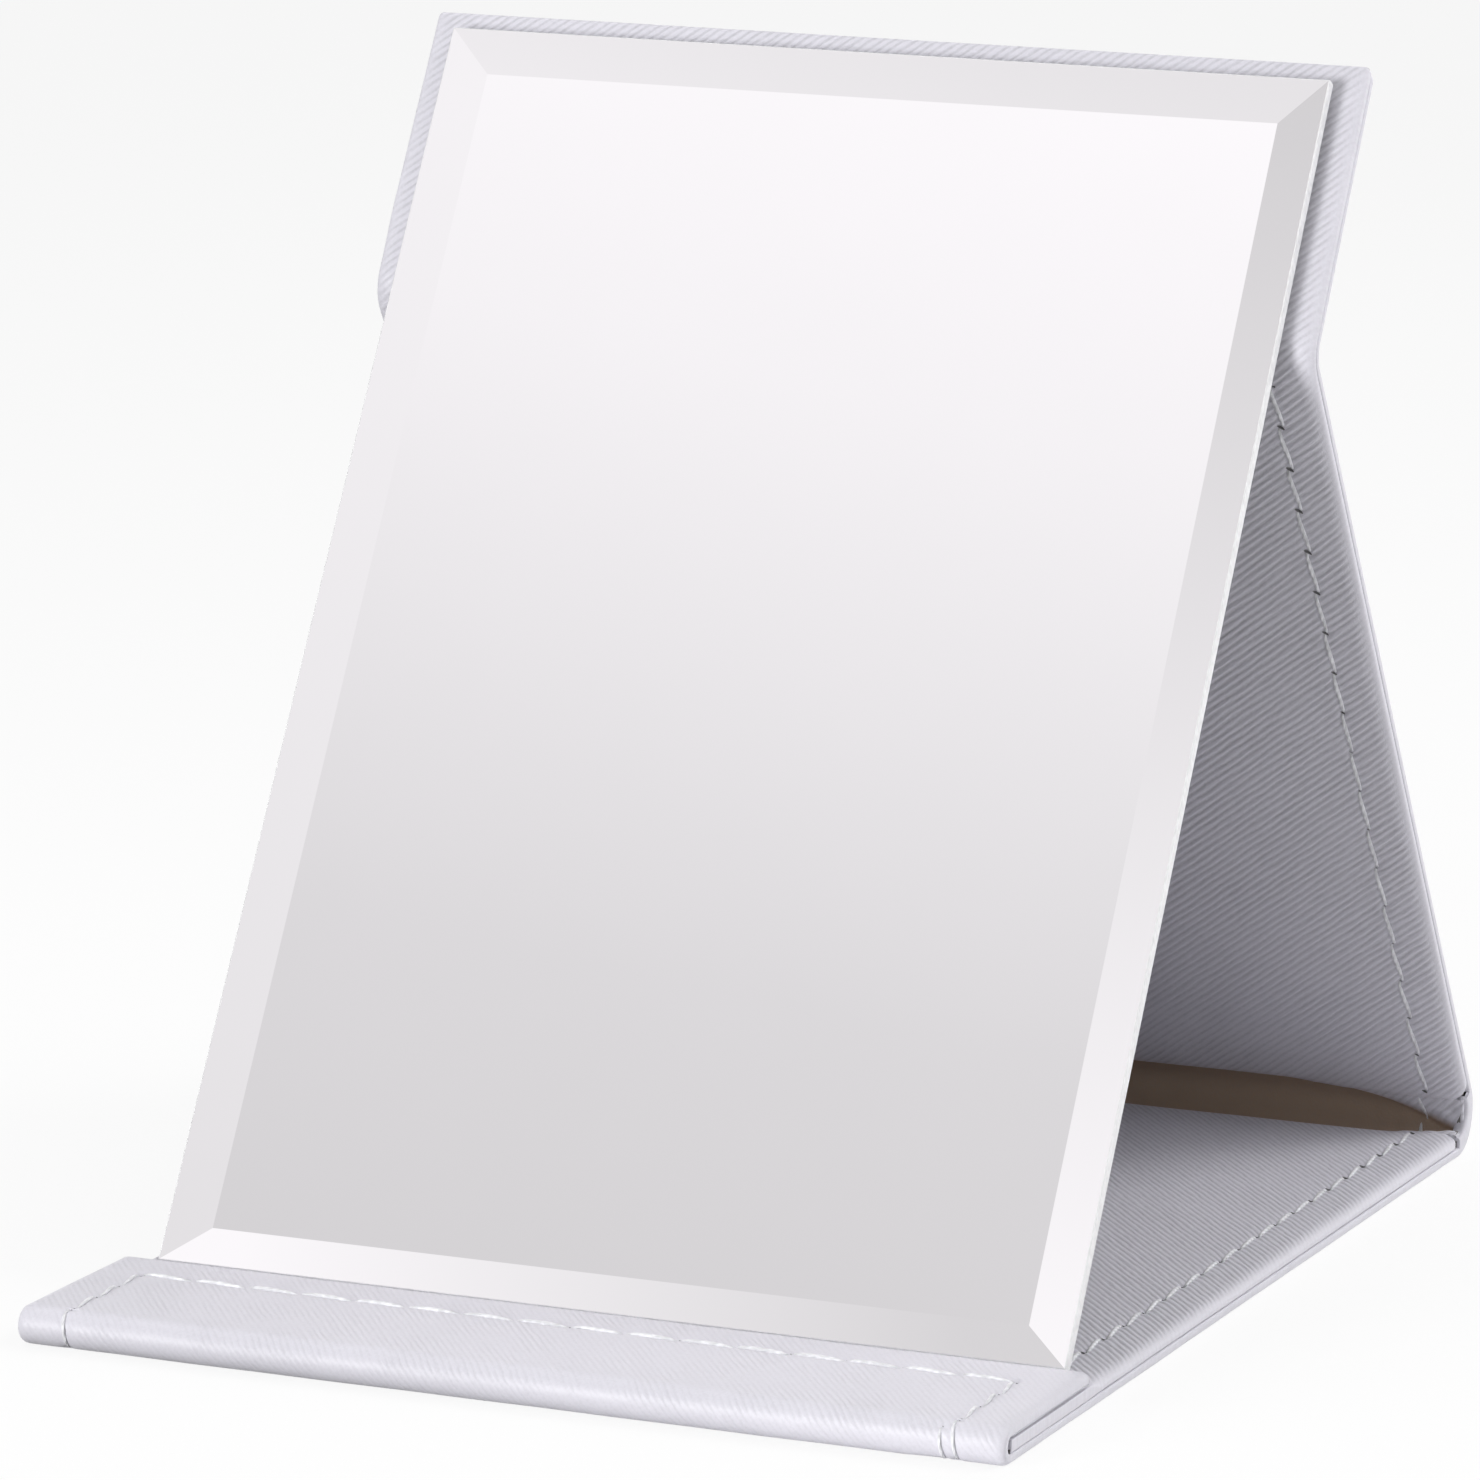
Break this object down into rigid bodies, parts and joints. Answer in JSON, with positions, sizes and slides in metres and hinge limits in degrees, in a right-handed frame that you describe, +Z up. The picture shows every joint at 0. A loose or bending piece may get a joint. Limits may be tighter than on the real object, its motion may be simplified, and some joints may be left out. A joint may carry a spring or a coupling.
{
  "type": "folding makeup mirror",
  "caption": "Rectangular bevelled mirror in a slim leather-look case that folds into a triangular table stand, with a front flap that stops the mirror's foot.",
  "frame": {"origin": "middle of the standing footprint, on the underside of the base", "axes": "+X to the right of someone facing the mirror, +Y from the flap to the spine, +Z up"},
  "size_m": [0.14, 0.1964, 0.1658],
  "materials": {
    "cover_leather": "pale grey-white synthetic leather with a fine diagonal emboss, satin",
    "lining_leather": "the same embossed leather on the inner side, satin",
    "valley_lining": "plain taupe lining in the valley of the spine, matt",
    "greyboard": null,
    "thread": "white sewing thread",
    "plate_steel": "thin sheet",
    "magnet_sheet": "ferrite-filled flexible magnet sheet",
    "foam_tape": "double-sided foam tape",
    "silvering": "silvered and back-painted",
    "mirror_glass": "clear bevelled float glass with a polished edge"
  },
  "bodies": {
    "base": {"base_board": "greyboard", "base_cover": "cover_leather", "base_lining": "lining_leather", "base_catch_plates": "plate_steel", "base_stitching": "thread", "spine_cover": "cover_leather", "spine_lining": "valley_lining", "nose_cover": "cover_leather", "nose_lining": "lining_leather"},
    "back_panel": {"back_board": "greyboard", "back_cover": "cover_leather", "back_lining": "lining_leather", "back_stitching": "thread", "upper_fold_cover": "cover_leather", "upper_fold_lining": "lining_leather"},
    "mirror_panel": {"top_board": "greyboard", "top_cover": "cover_leather", "top_lining": "lining_leather", "top_catch_plates": "plate_steel", "top_stitching": "thread", "mirror_tape": "foam_tape", "mirror_coating": "silvering", "mirror_glass": "mirror_glass"},
    "flap": {"flap_board": "greyboard", "flap_cover": "cover_leather", "flap_lining": "lining_leather", "flap_magnets": "magnet_sheet", "flap_stitching": "thread"}
  },
  "joints": [
    {"name": "spine_fold", "type": "hinge", "parent": "base", "child": "back_panel", "pos_m": [0, 0.09816, 0.00314], "axis": [-1, 0, 0], "range_deg": [0, 124.5], "deforming": ["spine_cover", "spine_lining"]},
    {"name": "upper_fold", "type": "hinge", "parent": "back_panel", "child": "mirror_panel", "pos_m": [0, 0.01344, 0.12839], "axis": [1, 0, 0], "range_deg": [0, 65], "deforming": ["upper_fold_cover", "upper_fold_lining"]},
    {"name": "flap_fold", "type": "hinge", "parent": "base", "child": "flap", "pos_m": [0, -0.09887, 0.00275], "axis": [1, 0, 0], "range_deg": [0, 179], "deforming": ["nose_cover", "nose_lining"]}
  ],
  "couplings": [
    {"joint": "upper_fold", "follows": "spine_fold", "ratio": 0.52083}
  ]
}
